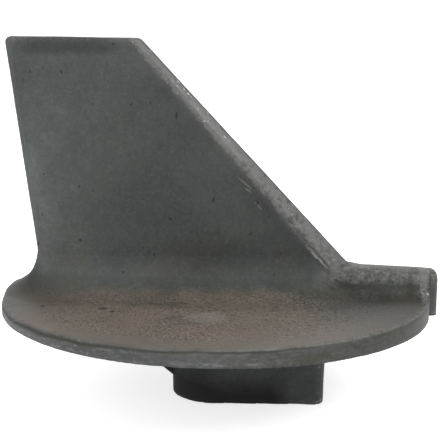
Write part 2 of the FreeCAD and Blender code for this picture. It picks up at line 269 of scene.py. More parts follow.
def parts_of(whole):
    """A vector's parts along x, y and z."""
    node = add(whole.tree, "ShaderNodeSeparateXYZ", {0: whole})
    return [Value(node.outputs[axis]) for axis in "XYZ"]


def mixed(amount, first, second):
    """The first colour where the amount is 0, and the second where it is 1."""
    return made(amount.tree, "ShaderNodeMix",
                {MIX_AMOUNT: amount, MIX_FIRST: first, MIX_SECOND: second},
                MIX_RESULT, data_type="RGBA")


def noise(spot, scale, detail=2.0, roughness=0.5, distortion=0.0, output="Fac"):
    """Soft random pattern, with about as many blotches to a metre as the scale says."""
    return made(spot.tree, "ShaderNodeTexNoise",
                {"Vector": spot, "Scale": scale, "Detail": detail,
                 "Roughness": roughness, "Distortion": distortion}, output)


def strayed(spot, scale, reach):
    """Places nudged at random, so that the cells drawn on them look ragged."""
    return vector_math("ADD", spot, stretched(noise(spot, scale, output="Color"), reach))


def cells(spot, scale):
    """Distance to the nearest cell's centre, and two random numbers of that cell."""
    node = add(spot.tree, "ShaderNodeTexVoronoi", {"Vector": spot, "Scale": scale})
    first, second, _ = parts_of(Value(node.outputs["Color"]))
    return Value(node.outputs["Distance"]), first, second


def oval_distance(u, v, mark):
    """Squared distance from an oval's middle, which is 1 on the oval itself."""
    turn = math.radians(mark.tilt)
    off_u, off_v = u - mark.u, v - mark.v
    along = off_u * (math.cos(turn) / mark.half_u) + off_v * (math.sin(turn) / mark.half_u)
    across = off_v * (math.cos(turn) / mark.half_v) - off_u * (math.sin(turn) / mark.half_v)
    return along * along + across * across


def all_ovals(u, v, marks):
    """Ovals with soft edges in a plane: 1 inside any of them and 0 outside."""
    return most(0.0, *(fall(oval_distance(u, v, mark), *OVAL_FADE) for mark in marks))


def all_clouds(u, v, marks):
    """Factor that darkens each cloud by its own shade in the middle, and less outwards."""
    total = 1.0
    for mark in marks:
        thin = calc("EXPONENT", -oval_distance(u, v, mark))
        total = total * (1.0 - thin * mark.shade)
    return total


def radius_about_bore(x, y):
    return calc("SQRT", x * x + y * y)


def height_over_plate(x, z):
    """Height above the plate's sloping top."""
    return z - PLATE_TOP - x * math.tan(PLATE_RISE)


def past_shoulder(x, z):
    """Distance ahead of the line where the fin's flat side meets its bevelled nose."""
    above = z - PLATE_TOP
    crest = NOSE_FOOT - above * (1.0 / math.tan(NOSE_SWEEP))
    half = above * ((FIN_TIP_HALF - FIN_FOOT_HALF) / FIN_HEIGHT) + FIN_FOOT_HALF
    shoulder = crest - half * (1.0 / math.tan(NOSE_ANGLE))
    return (x - shoulder) * math.sin(NOSE_SWEEP)


def new_material(name):
    """An empty material."""
    material = bpy.data.materials.new(name)
    material.use_nodes = True
    material.node_tree.nodes.clear()
    return material


def new_object(name, data):
    """An object in the scene, at the origin."""
    item = bpy.data.objects.new(name, data)
    bpy.context.scene.collection.objects.link(item)
    return item


# Sizes and colours that can be changed in the sidebar

class CastingSkin(bpy.types.PropertyGroup):
    grid: bpy.props.FloatProperty(
        name="Grid", description="Edge length of the skin's mesh",
        default=0.00056, min=0.0003, unit="LENGTH", precision=5)
    wave_depth: bpy.props.FloatProperty(
        name="Wave Depth", description="Depth of the slow waves left by the mould",
        default=0.00012, unit="LENGTH", precision=5)
    wave_size: bpy.props.FloatProperty(
        name="Wave Size", description="Distance between those waves",
        default=0.014, unit="LENGTH", precision=4)
    grain_depth: bpy.props.FloatProperty(
        name="Grain Depth", description="Depth of the cast skin's grain",
        default=0.00004, unit="LENGTH", precision=5)
    pit_depth: bpy.props.FloatProperty(
        name="Pit Depth", description="Depth of the larger pits",
        default=0.00022, unit="LENGTH", precision=5)
    pit_spacing: bpy.props.FloatProperty(
        name="Pit Spacing", description="Distance between places that may hold a pit",
        default=0.0034, unit="LENGTH", precision=4)
    pit_share: bpy.props.FloatProperty(
        name="Pit Share", description="Share of those places that hold a pit",
        default=0.22, subtype="FACTOR", min=0.0, max=1.0)
    tail_swell: bpy.props.FloatProperty(
        name="Tail Swell", description="How far the plate rises at its trailing end",
        default=0.0006, unit="LENGTH", precision=5)
    flash_height: bpy.props.FloatProperty(
        name="Flash Height", description="Height of the thin flash line beside the nose",
        default=0.00016, unit="LENGTH", precision=5)


class ZincFinish(bpy.types.PropertyGroup):
    skin_colour: bpy.props.FloatVectorProperty(
        name="Skin", description="Blue-grey of the cast skin on the fin",
        default=(0.057, 0.064, 0.061), subtype="COLOR", min=0.0, max=1.0)
    warm_colour: bpy.props.FloatVectorProperty(
        name="Warm Skin", description="Warmer grey clouds in the cast skin",
        default=(0.0600, 0.0640, 0.0612), subtype="COLOR", min=0.0, max=1.0)
    tarnish_colour: bpy.props.FloatVectorProperty(
        name="Tarnish", description="Brownish tarnish on top of the plate",
        default=(0.136, 0.107, 0.086), subtype="COLOR", min=0.0, max=1.0)
    rim_dust_colour: bpy.props.FloatVectorProperty(
        name="Outer Plate", description="Smoother, yellowish grey of the plate near its rim",
        default=(0.122, 0.113, 0.099), subtype="COLOR", min=0.0, max=1.0)
    patch_colour: bpy.props.FloatVectorProperty(
        name="Pale Patch", description="Pale smooth patch in the tarnish",
        default=(0.188, 0.177, 0.156), subtype="COLOR", min=0.0, max=1.0)
    rim_colour: bpy.props.FloatVectorProperty(
        name="Rim", description="Grey of the turned rim",
        default=(0.096, 0.101, 0.102), subtype="COLOR", min=0.0, max=1.0)
    # besides worn metal, this colour lays a painted highlight on the arm's end and painted light
    # on the arm's tip
    worn_colour: bpy.props.FloatVectorProperty(
        name="Worn Metal", description="Brighter metal on the nose and on worn edges",
        default=(0.125, 0.125, 0.120), subtype="COLOR", min=0.0, max=1.0)
    # besides bare specks, this colour lays a painted highlight along the flash line
    bright_colour: bpy.props.FloatVectorProperty(
        name="Bright Specks", description="Bare specks in the worn metal",
        default=(0.50, 0.51, 0.50), subtype="COLOR", min=0.0, max=1.0)
    olive_colour: bpy.props.FloatVectorProperty(
        name="Olive", description="Greenish deposit at the fin's root, on the arm and the rim",
        default=(0.052, 0.052, 0.036), subtype="COLOR", min=0.0, max=1.0)
    ochre_colour: bpy.props.FloatVectorProperty(
        name="Ochre", description="Yellow-green mottles in the tarnish beside the fin",
        default=(0.120, 0.116, 0.076), subtype="COLOR", min=0.0, max=1.0)
    # besides film along the arm, this colour lays film and painted shade in the rim's groove
    film_colour: bpy.props.FloatVectorProperty(
        name="Film", description="Dark greenish film in the hollows along the arm",
        default=(0.032, 0.032, 0.022), subtype="COLOR", min=0.0, max=1.0)
    # besides dirt in pits, cracks and stains, this colour lays painted shade in corners, under the
    # plate and along the flash line
    dirt_colour: bpy.props.FloatVectorProperty(
        name="Dirt", description="Dark film in pits, in corners and under the plate",
        default=(0.012, 0.013, 0.012), subtype="COLOR", min=0.0, max=1.0)


class BoltThread(bpy.types.PropertyGroup):
    pitch: bpy.props.FloatProperty(
        name="Pitch", description="Distance from one turn of the thread to the next",
        default=0.0015, unit="LENGTH", precision=4)
    root_radius: bpy.props.FloatProperty(
        name="Root Radius", description="Radius at the bottom of the thread's groove",
        default=0.00505, unit="LENGTH", precision=5)
    start: bpy.props.FloatProperty(
        name="Start", description="Height above the boss's end where the thread begins",
        default=0.0009, unit="LENGTH", precision=4)
    length: bpy.props.FloatProperty(
        name="Length", description="Threaded length",
        default=0.0126, unit="LENGTH", precision=4)


class StudioStage(bpy.types.PropertyGroup):
    floor_colour: bpy.props.FloatVectorProperty(
        name="Floor", description="Colour of the floor and backdrop",
        default=(0.9, 0.9, 0.9), subtype="COLOR", min=0.0, max=1.0)
    bounce_colour: bpy.props.FloatVectorProperty(
        name="Floor Bounce", description="How the floor throws light back at the part",
        default=(0.10, 0.10, 0.10), subtype="COLOR", min=0.0, max=1.0)
    key_power: bpy.props.FloatProperty(
        name="Key Power", description="Large softbox, high on the right", default=6.4,
        unit="POWER")
    fill_power: bpy.props.FloatProperty(
        name="Fill Power", description="Large softbox on the left", default=2.6,
        unit="POWER")
    back_power: bpy.props.FloatProperty(
        name="Back Power", description="Large softbox behind the part", default=2.0,
        unit="POWER")
    sky_strength: bpy.props.FloatProperty(
        name="Surround", description="Strength of the even light all round", default=0.85)


# Cast zinc

class Zinc:
    """Cast zinc's colour, laid on in layers, and the measures that its layers share."""

    def __init__(self, tree, finish):
        self.finish = finish
        self.colour = tuple(finish.skin_colour)
        where = add(tree, "ShaderNodeTexCoord").outputs
        self.spot = Value(where["Object"])
        self.x, self.y, self.z = parts_of(self.spot)
        _, self.facing_y, self.facing_z = parts_of(Value(where["Normal"]))
        self.above = height_over_plate(self.x, self.z)
        self.radius = radius_about_bore(self.x, self.y)
        self.turn = calc("ARCTAN2", self.y, self.x)
        self.edge = made(tree, "ShaderNodeAttribute", output="Fac", attribute_name="edge")
        self.hollow_shade = made(tree, "ShaderNodeAttribute", output="Fac", attribute_name="hollow_shade")
        self.scuffs = noise(self.spot, 900.0, 4.0, 0.7)

    def cover(self, name, amount):
        """Lays one of the finish's colours over what is there, by an amount from 0 to 1."""
        limited = calc("MULTIPLY", amount, 1.0, clamp=True)
        self.colour = mixed(limited, self.colour, getattr(self.finish, name + "_colour"))

    def shade(self, factor):
        """Multiplies the colour by a factor."""
        self.colour = stretched(self.colour, factor)

    def darken(self, amount):
        """Takes an amount from 0 to 1 off the colour's brightness."""
        self.shade(1.0 - amount)

    def skin(self):
        """Cast skin: cool and neutral grey clouds, mottled, with short upright scuffs, under a
        painted fall of light towards the nose.
        """
        self.cover("warm", ramp(noise(self.spot, 62.0, 3.0, 0.55), 0.40, 0.62))
        clouds = noise(self.spot, 42.0, 8.0, 0.68, 0.5)
        self.shade(clouds * 1.25 + 0.375)
        # painted light: lighter towards the fin's trailing end and darker towards the nose
        trailing = fall(self.x, -0.045, 0.020)
        self.shade(trailing * 0.30 + 0.82)

        # upright scuffs, level scores and a fine mottle
        upright = vector(self.x, self.y, self.z * 0.35)
        scuffs = noise(upright, 800.0, 4.0, 0.7)
        self.shade(scuffs * 0.42 + 0.78)
        level = vector(self.x * 0.16, self.y, self.z)
        scored = ramp(noise(level, 1500.0, 3.0, 0.7), 0.56, 0.70)
        self.shade(scored * 0.11 + 0.985)
        mottle = noise(self.spot, 1300.0, 4.0, 0.75)
        self.shade(mottle * 0.70 + 0.65)

        # shade at the fin's foot and root, clouds at set places, and an olive deposit
        foot = between(self.above, 0.0003, 0.0046, 0.0010) * 0.26
        drift = noise(self.spot, 75.0, 3.0, 0.6) * 0.010 - 0.005
        wavy = self.above + drift
        root = between(wavy, 0.0045, 0.0125, 0.0050) * ramp(self.x, -0.036, -0.020) * 0.35
        self.darken(most(foot, root))
        self.shade(all_clouds(self.x + drift, wavy, FIN_CLOUDS))
        tail = fall(self.x, -0.0475, -0.0360) * fall(self.above, 0.004, 0.008)
        self.darken(tail * 0.44)
        olive = (between(self.above, 0.0012, 0.0105, 0.0030)
                 * ramp(noise(self.spot, 130.0, 4.0, 0.65), 0.42, 0.66))
        self.cover("olive", olive * 0.38)

    def tarnish(self):
        """Brownish tarnish on the plate's top, speckled, smoother and yellower at the rim, with
        painted shade beside the arm and where the plate rises into the fin.
        """
        drift = noise(self.spot, 150.0, 4.0, 0.65)
        speckle = noise(self.spot, 1700.0, 3.0, 0.75)
        low = self.above - 0.0047 + drift * 0.0040 + speckle * 0.0050
        area = fall(low, -0.0004, 0.0026) * ramp(self.facing_z, 0.35, 0.95)
        beside_arm = ramp(self.x, 0.008, 0.034) * 0.9 * fall(abs(self.y), 0.012, 0.042)
        patchy = noise(self.spot, 90.0, 3.0, 0.6) * 0.9 + 0.50
        self.cover("tarnish", area * patchy * (1.0 - beside_arm))
        ochre = area * ramp(drift, 0.47, 0.62) * fall(self.radius, 0.020, 0.036)
        self.cover("olive", ochre * 0.60)
        near_rim = area * ramp(self.radius, 0.037, 0.045) * ramp(self.x, -0.040, -0.015) * 0.75
        self.cover("rim_dust", near_rim)

        # yellow-green mottles, and pale and dark grains short of the rim
        mottles = all_ovals(self.x, self.y, PLATE_OCHRE) * area * ramp(speckle, 0.42, 0.60)
        self.cover("ochre", mottles * 0.45)
        grains = noise(self.spot, 2150.0, 2.0, 0.75)
        rough_band = (area * fall(self.radius, 0.040, 0.0455) * ramp(self.x, -0.056, -0.026)
                      * fall(self.above, -0.0004, 0.0050))
        self.cover("patch", rough_band * ramp(grains, 0.54, 0.60) * 0.62)
        self.cover("dirt", rough_band * fall(grains, 0.39, 0.44) * 0.75)
        self.shade(area * (grains - 0.5) * 0.7 + 1.0)

        # darker at both ends of the plate, with olive at the trailing end, and painted shade
        # beside the arm and where the plate rises into the fin
        tail_end = (fall(self.x, -0.0450, -0.0305) * ramp(self.above, -0.0006, 0.0)
                    * fall(self.above, 0.003, 0.009))
        self.cover("olive", area * tail_end * 0.36)
        deeper = fall(self.above, 0.0008, 0.0030) * 0.30 + 0.40
        self.darken(tail_end * deeper)
        ends = most(fall(self.x, -0.040, -0.020) * 0.20, ramp(self.x, 0.012, 0.044) * 0.60)
        self.darken(area * ends)
        # painted shade on the rise into the fin and just beside it, which also takes olive deposit
        on_blend = ramp(self.above, 0.0001, 0.0030) * fall(self.above, 0.0040, 0.0050) * 0.38
        by_blend = fall(abs(self.y), 0.0110, 0.0200) * 0.20
        blend_shade_and_olive = area * most(on_blend, by_blend) * fall(self.x, 0.012, 0.024)
        self.darken(blend_shade_and_olive)
        self.cover("olive", blend_shade_and_olive * fall(speckle, 0.44, 0.64) * 1.7)
        self.cover("patch", all_ovals(self.x, self.y, PLATE_PATCHES) * area * 0.50)

    def arm(self):
        """Mottled arm with dark, greenish hollows along its foot, painted shade along its top edge
        and painted light on its tip.
        """
        on_arm = ramp(self.x, 0.022, 0.030) * ramp(self.above, 0.0022, 0.0036)
        blotches = noise(self.spot, 700.0, 6.0, 0.85)
        self.cover("worn", on_arm * ramp(blotches, 0.40, 0.62) * 0.85)
        self.cover("olive", on_arm * fall(blotches, 0.34, 0.52) * 0.50)
        # painted shade along the arm's crown and its far top edge
        self.darken(on_arm * ramp(self.above, 0.0060, 0.0071) * 0.50)
        far_edge_shade = ramp(self.above, 0.0052, 0.0062) * ramp(self.y, 0.0026, 0.0040)
        self.darken(on_arm * far_edge_shade * 0.50)
        crumbs = noise(self.spot, 2100.0, 3.0, 0.75)
        self.shade(on_arm * (crumbs - 0.5) * 2.4 + 1.10)
        foot = (ramp(self.x, 0.018, 0.026) * between(self.above, 0.0, 0.0025, 0.0006)
                * fall(abs(self.y), 0.0085, 0.0125))
        holds = ramp(blotches, 0.30, 0.58) * ramp(noise(self.spot, 190.0, 2.0), 0.30, 0.52)
        self.cover("film", foot * holds)

        # stains at set places, on the fin's near side, painted light that makes the tip's side
        # paler, and a crack beside it
        beside_fin = fall(self.y, -0.0020, -0.0010)
        ragged = blotches * 0.0030 - 0.0015
        stains = all_ovals(self.x + ragged, self.above + ragged, ARM_STAINS)
        stains = (stains * beside_fin * ramp(blotches, 0.36, 0.56)
                  * fall(abs(self.y), 0.0105, 0.0135))
        self.cover("dirt", stains * 0.62)
        # painted light on the tip's side face
        tip = (ramp(self.x, 0.0478, 0.0484)
               * ramp(self.z, PLATE_UNDERSIDE + 0.0002, PLATE_UNDERSIDE + 0.0008)
               * fall(abs(self.y), 0.0058, 0.0066) * fall(self.above, 0.0026, 0.0040))
        self.cover("worn", tip * 0.30)
        crack = (bell(self.x, 0.0481, 0.00024) * fall(self.y, -0.0035, -0.0028)
                 * fall(self.above, 0.0052, 0.0064) * 0.60)
        self.cover("dirt", crack)

    def wear(self):
        """Worn metal on the nose, the arm's end and along edges, with a painted highlight on the
        arm's end, and painted highlight and shade along the flash line; returns how bare it is.
        """
        # the nose, coarser in its middle part and brighter near its top
        ragged = noise(self.spot, 600.0, 5.0, 0.7) * 0.0016 - 0.0008
        ahead = past_shoulder(self.x, self.z) + ragged
        nose = ramp(ahead, -0.0011, -0.0001) * ramp(self.above, 0.005, 0.008)
        granular = self.scuffs * 4.2 - 1.15
        streaks = noise(self.spot, 210.0, 3.0, 0.6) + 0.50
        granular_part = bell(self.above, 0.0385, 0.0080)
        near_shoulder = bell(ahead, 0.0009, 0.0013)
        lively = granular_part * near_shoulder * 0.75 + 0.97
        lively = lively + ramp(self.above, 0.0480, 0.0530) * 0.60
        nose = nose * granular * streaks * lively

        # the arm's end, partly worn and partly a painted highlight, sharp edges, the fin's crown
        # and its trailing edge
        end_x = self.x + self.scuffs * 0.0040 - 0.0020
        crumbly = noise(self.spot, 1500.0, 3.0, 0.8)
        arm_end_wear_and_highlight = (between(end_x, 0.0460, 0.0474, 0.0006) * ramp(self.above, -0.0008, 0.0006)
                   * ramp(crumbly, 0.36, 0.56) * fall(abs(self.y), 0.0100, 0.0125)
                   * fall(self.above, 0.0056, 0.0064) * 1.5)
        edge = self.edge * ramp(self.scuffs, 0.38, 0.6) * 0.60
        crown = self.edge * ramp(self.above, 0.052, 0.055) * ramp(self.scuffs, 0.35, 0.6) * 0.8
        aft = AFT_FOOT - (self.z - PLATE_TOP) * math.tan(AFT_RAKE)
        off_aft = self.x - aft
        straight = ramp(self.above, 0.011, 0.015)
        aft_edge = between(off_aft, 0.0005, 0.0015, 0.0003) * straight * 0.30

        # a rubbed patch near the trailing edge, and worn marks at set places
        rubbed = (between(self.x, -0.0425, -0.0365, 0.0030)
                  * between(self.above, 0.010, 0.033, 0.008) * ramp(self.scuffs, 0.3, 0.7) * 0.40)
        crumbs = ramp(self.scuffs, 0.36, 0.56)
        patches = all_ovals(self.x, self.above, FIN_PATCHES) * crumbs * 0.45
        scratches = all_ovals(self.x, self.above, FIN_SCRATCHES) * 0.8
        front = fall(self.y, -0.002, -0.001)
        local = most(patches, scratches) * front
        bare = most(nose, arm_end_wear_and_highlight, edge)
        self.cover("worn", most(bare, crown, aft_edge, rubbed, local))
        beside = between(off_aft, 0.0017, 0.0021, 0.0003) * straight * 0.10
        under_crown = (ramp(self.above, 0.0530, 0.0550) * between(self.x, -0.0440, -0.0230, 0.0040)
                       * 0.42)
        self.darken(most(beside, under_crown))

        # the flash line low on the nose: a painted highlight on one side and painted shade on the
        # other
        low_flash = between(self.above, 0.0066, 0.0150, 0.0010) * front
        flash_highlight = (bell(ahead, -0.0009, 0.00022) * low_flash
                        * fall(self.above, 0.0090, 0.0120) * ramp(self.scuffs, 0.34, 0.5))
        self.cover("bright", flash_highlight * 0.35)
        flash_shade = bell(ahead, -0.0003, 0.00030) * low_flash * ramp(self.scuffs, 0.38, 0.54)
        self.cover("dirt", flash_shade * 0.70)

        # few bare specks on the rim, and on the nose but for its granular part
        sparse = granular_part * near_shoulder + 0.18
        low_down = fall(self.above, 0.0055, 0.0065)
        bare = bare * most(low_down, sparse)
        on_rim = (ramp(self.radius, PLATE_RADIUS - 0.0014, PLATE_RADIUS - 0.0008)
                  * fall(self.above, 0.0004, 0.0008))
        bare = bare - bare * on_rim * 0.75
        return calc("MULTIPLY", bare, 1.0, clamp=True)

    def rim(self):
        """Scuffed rim with worn edges; returns the dark groove along its upper edge, darkened
        partly by film and partly by painted shade.
        """
        side = (ramp(self.radius, PLATE_RADIUS - 0.0008, PLATE_RADIUS - 0.0004)
                * fall(self.above, 0.0002, 0.0008) * fall(self.x, 0.0480, 0.0484))
        line = vector(self.turn * PLATE_RADIUS * 0.42, self.above, 0.0)
        blotches = noise(line, 520.0, 6.0, 0.78, 0.4)
        fine = noise(line, 1500.0, 3.0, 0.7)
        forward = ramp(self.turn, -1.65, -1.05)
        self.cover("rim", side * (0.95 - forward * 0.65))
        lighter = side * ramp(blotches, 0.38, 0.56) * ramp(fine, 0.40, 0.56)
        self.cover("worn", lighter * (1.0 - forward * 0.70))
        scraped = side * fall(self.turn, -2.1, -1.6) * ramp(fine, 0.52, 0.64)
        self.cover("bright", scraped * 0.22)
        darker = side * forward * fall(blotches, 0.40, 0.56)
        self.cover("olive", darker * 0.80)
        self.cover("olive", side * forward * 0.20)
        self.darken(side * ramp(self.turn, -1.15, -0.75) * 0.22)
        shaded = between(self.turn, -2.15, -1.60, 0.12) * ramp(self.above, -0.0030, -0.0020)
        self.darken(side * shaded * 0.20)

        # worn lower edge and, towards the arm, worn upper edge
        low = (side * bell(self.above, -0.0028, 0.00040) * between(self.turn, -1.75, -0.95, 0.18)
               * ramp(blotches, 0.42, 0.6))
        self.cover("bright", low * ramp(fine, 0.36, 0.6) * 0.17)
        on_edge = (ramp(self.radius, PLATE_RADIUS - 0.0007, PLATE_RADIUS - 0.0003)
                   * bell(self.above, -0.0001, 0.00030) * between(self.turn, -1.95, -0.22, 0.22)
                   * ramp(self.scuffs, 0.28, 0.58))
        self.cover("bright", on_edge * 0.21)

        # the groove wanders, and is widest towards the trailing end
        broad = bell(self.turn, -2.3, 0.42)
        wander = noise(line, 300.0, 3.0) * 0.0009 - 0.00095 - broad * 0.00015
        groove = bell(self.above, wander, broad * 0.00022 + 0.00026)
        fading = between(self.turn, -2.95, -1.00, 0.24)
        near = ramp(self.radius, PLATE_RADIUS - 0.0020, PLATE_RADIUS - 0.0010)
        return groove * fading * near

    def painted_shade_under_plate(self):
        """Painted shade on all that lies under the plate, thinner at the boss's nose, with painted
        light on the boss's upper middle and right side; returns the shade's amount.
        """
        under = fall(self.z, PLATE_UNDERSIDE - 0.0008, PLATE_UNDERSIDE + 0.0002)
        slant = self.z * 0.42 + 0.0150
        nose = ramp(self.x - slant, -0.0020, 0.0020)
        tail = fall(self.x, -0.0100, 0.0045)
        foot = fall(self.z, 0.0005, 0.0085) * fall(self.x, 0.0120, 0.0190)
        blotches = noise(self.spot, 260.0, 4.0, 0.7)
        amount = 0.27 - nose * 0.12 + tail * 0.64 + foot * 0.85 - blotches * 0.50
        middle = between(self.x, -0.0030, 0.0300, 0.0050) * ramp(self.z, 0.004, 0.014)
        # painted light on the boss's upper middle and on its right side
        self.shade(under * middle * 0.36 + 1.0)
        self.shade(under * ramp(self.x, 0.016, 0.026) * 0.20 + 1.0)
        # painted shade low down on the boss
        lowest = fall(self.z, 0.0005, 0.0060) * fall(self.x, 0.016, 0.024)
        amount = amount - middle * 0.14 + lowest * 0.22
        return under * calc("MINIMUM", most(amount, 0.0), 0.9)


def zinc_material(finish):
    """Cast zinc: clouded skin, tarnish on the plate, worn edges, pits, dark film, painted light
    and shade, and grain.
    """
    material = new_material(ZINC)
    tree = material.node_tree
    zinc = Zinc(tree, finish)
    zinc.skin()
    zinc.tarnish()
    zinc.arm()
    bare = zinc.wear()
    groove = zinc.rim()

    # bare specks in the worn metal
    away, chance, size = cells(strayed(zinc.spot, 1800.0, 0.0011), 1300.0)
    reach = size * 0.36 + 0.14
    speck = calc("LESS_THAN", away, reach) * ramp(chance, 0.64, 0.72)
    lively = ramp(noise(zinc.spot, 170.0, 2.0), 0.44, 0.58)
    speck_area = bare * lively * 0.9 + 0.02
    zinc.cover("bright", speck * speck_area)

    # fine grain of the cast skin
    grain = noise(zinc.spot, 2400.0, 3.0, 0.8)
    zinc.shade(grain * 0.5 + 0.75)

    # pits hold a dark film; corners and all that lies under the plate get painted shade in the
    # same dark colour
    upright = vector_math("MULTIPLY", strayed(zinc.spot, 700.0, 0.0012), (1.0, 1.0, 0.55))
    away, chance, size = cells(upright, 700.0)
    reach = size * size * 0.25
    pit = (calc("LESS_THAN", away, reach) * ramp(chance, 0.60, 0.80)
           * (ramp(zinc.above, -0.0002, 0.0008) * 0.8 + 0.2))
    front = between(zinc.y, -0.0110, -0.0006, 0.0003)
    set_pits = all_ovals(zinc.x, zinc.above, FIN_PITS) * front
    cracks = all_ovals(zinc.x, zinc.y, PLATE_CRACKS) * between(zinc.above, -0.0010, 0.0010, 0.0005)
    pit = most(pit, set_pits, cracks)
    film = zinc.painted_shade_under_plate()
    open_tip = ramp(zinc.x, 0.0478, 0.0486) * 0.8
    hollow_shade = zinc.hollow_shade * (1.0 - open_tip) * 0.5
    # the groove's darkness is partly film and partly painted shade
    zinc.cover("film", groove * 0.80)
    film = most(film, pit * 0.7, hollow_shade, groove * 0.20)
    zinc.cover("dirt", film)

    # painted shade on faces that look fore or aft, on the fin and under the plate
    end_on = 1.0 - abs(zinc.facing_y)
    outline = (ramp(end_on, 0.36, 0.66) * ramp(zinc.above, 0.004, 0.007)
               * fall(zinc.facing_z, 0.60, 0.85))
    below = (ramp(end_on, 0.45, 0.95) * fall(zinc.z, 0.018, PLATE_UNDERSIDE)
             * ramp(zinc.facing_z, -0.9, -0.5))
    zinc.darken(outline * 0.60 + below * 0.55)

    relief = grain * 0.5 - pit - groove * 1.5
    bump = made(tree, "ShaderNodeBump", {
        "Strength": 0.5, "Distance": BUMP_HEIGHT, "Height": relief})
    shader = made(tree, "ShaderNodeBsdfPrincipled", {
        "Base Color": zinc.colour, "Roughness": 0.60 - bare * 0.10 + film * 0.25,
        "Metallic": 0.20 - film * 0.20, "Specular IOR Level": 0.3, "Normal": bump})
    add(tree, "ShaderNodeOutputMaterial", {0: shader})
    return material


# Cast skin

def merged_copy(node_name, piece_name):
    """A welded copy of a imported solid's mesh, in a new object at the origin."""
    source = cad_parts[node_name]
    mesh = source.data.copy()
    mesh.name = piece_name
    shape = bmesh.new()
    shape.from_mesh(mesh)
    shape.transform(source.matrix_world)
    bmesh.ops.remove_doubles(shape, verts=shape.verts, dist=WELD)
    shape.to_mesh(mesh)
    shape.free()
    mesh.materials.clear()
    return new_object(piece_name, mesh)


def start_tree(name, sizes, material):
    """A geometry tree with named inputs, and the values of those inputs by name."""
    tree = bpy.data.node_groups.new(name, "GeometryNodeTree")
    face = tree.interface
    face.new_socket("Geometry", in_out="INPUT", socket_type="NodeSocketGeometry")
    for size in sizes:
        face.new_socket(size, in_out="INPUT", socket_type="NodeSocketFloat")
    face.new_socket(material, in_out="INPUT", socket_type="NodeSocketMaterial")
    face.new_socket("Geometry", in_out="OUTPUT", socket_type="NodeSocketGeometry")
    sockets = add(tree, "NodeGroupInput").outputs
    return tree, {socket.name: Value(socket) for socket in sockets if socket.name}


def end_tree(tree, shape, material):
    """Ends a geometry tree in plain geometry with its material."""
    shape = made(tree, "GeometryNodeRealizeInstances", {"Geometry": shape})
    shape = made(tree, "GeometryNodeSetMaterial", {"Geometry": shape, "Material": material})
    add(tree, "NodeGroupOutput", {0: shape})
    return tree


def skin_tree():
    """Geometry nodes that give a smooth casting its moulded skin and mark its edges."""
    sizes = ("Wave Depth", "Wave Size", "Grain Depth", "Pit Depth", "Pit Spacing", "Pit Share",
             "Flash Height", "Tail Swell", "Thread Start", "Thread End", "Thread Depth")
    tree, given = start_tree("cast_skin", sizes, "Skin Material")
    spot = made(tree, "GeometryNodeInputPosition")
    normal = made(tree, "GeometryNodeInputNormal")
    x, y, z = parts_of(spot)

    # the nose's shoulder is rubbed round, but for its lowest part
    above = height_over_plate(x, z)
    ahead = past_shoulder(x, z)
    softer = made(tree, "GeometryNodeBlurAttribute", {"Value": spot, "Iterations": RUB_STEPS},
                  output="Value", data_type="FLOAT_VECTOR")
    rubbed = bell(ahead, -0.0004, 0.0009) * ramp(above, 0.009, 0.018) * fall(above, 0.050, 0.056)
    off = stretched(vector_math("SUBTRACT", softer, spot), rubbed)

    # how far each point stands out of its smoothed surroundings
    smooth = made(tree, "GeometryNodeBlurAttribute", {"Value": spot, "Iterations": EDGE_STEPS},
                  output="Value", data_type="FLOAT_VECTOR")
    lift = vector_math("SUBTRACT", spot, smooth)
    lift = vector_math("DOT_PRODUCT", lift, normal, output="Value")
    edge = ramp(lift, 0.00005, 0.00030)
    # concave places, which the material darkens as painted shade
    hollow_shade = ramp(-lift, 0.00004, 0.00030)

    wave = noise(spot, 1.0 / given["Wave Size"], 2.0)
    sunk = ramp(wave, 0.25, 0.75) * given["Wave Depth"]
    grain = noise(spot, 620.0, 2.0, 0.6)
    sunk = sunk + grain * given["Grain Depth"]
    away, chance, size = cells(spot, 1.0 / given["Pit Spacing"])
    holds = calc("LESS_THAN", chance, given["Pit Share"])
    wide = away / (size * 0.20 + 0.03)
    pit = fall(wide, 0.2, 1.0) * holds
    sunk = sunk + pit * given["Pit Depth"]

    # the plate's trailing end swells up a little beside the rim
    turn = abs(calc("ARCTAN2", y, x))
    radius = radius_about_bore(x, y)
    tail = (ramp(turn, 2.72, 2.98) * ramp(radius, 0.040, 0.045) * ramp(above, -0.0006, 0.0002)
            * fall(above, 0.0015, 0.006))
    raised = tail * given["Tail Swell"]

    # flash line on one side of the nose, low down
    on_side = fall(y, -0.0024, -0.0014)
    low_part = ramp(above, 0.0055, 0.0075) * fall(above, 0.017, 0.023)
    crease = bell(ahead, -0.0004, 0.0005) * on_side * low_part
    sunk = sunk + crease * given["Flash Height"] * 1.3

    # the bore's wall gives way to the thread's root
    in_bore = (fall(radius, BORE_RADIUS + 0.0002, BORE_RADIUS + 0.0005)
               * ramp(z - given["Thread Start"], -0.0002, 0.0)
               * fall(z - given["Thread End"], 0.0, 0.0002))
    out_by = in_bore * given["Thread Depth"] / most(radius, 0.001)
    outward = stretched(vector(x, y, 0.0), out_by)

    sunk = sunk * (1.0 - in_bore)
    moved = stretched(normal, -sunk)
    lifted = vector(0.0, 0.0, raised)
    for shift in (off, outward, lifted):
        moved = vector_math("ADD", moved, shift)
    shape = given["Geometry"]
    for name, value in (("edge", edge), ("hollow_shade", hollow_shade)):
        shape = made(tree, "GeometryNodeStoreNamedAttribute",
                     {"Geometry": shape, "Name": name, "Value": value}, data_type="FLOAT",
                     domain="POINT")
    shape = made(tree, "GeometryNodeSetPosition", {"Geometry": shape, "Offset": moved})
    shape = made(tree, "GeometryNodeSetShadeSmooth", {"Geometry": shape})
    return end_tree(tree, shape, given["Skin Material"])


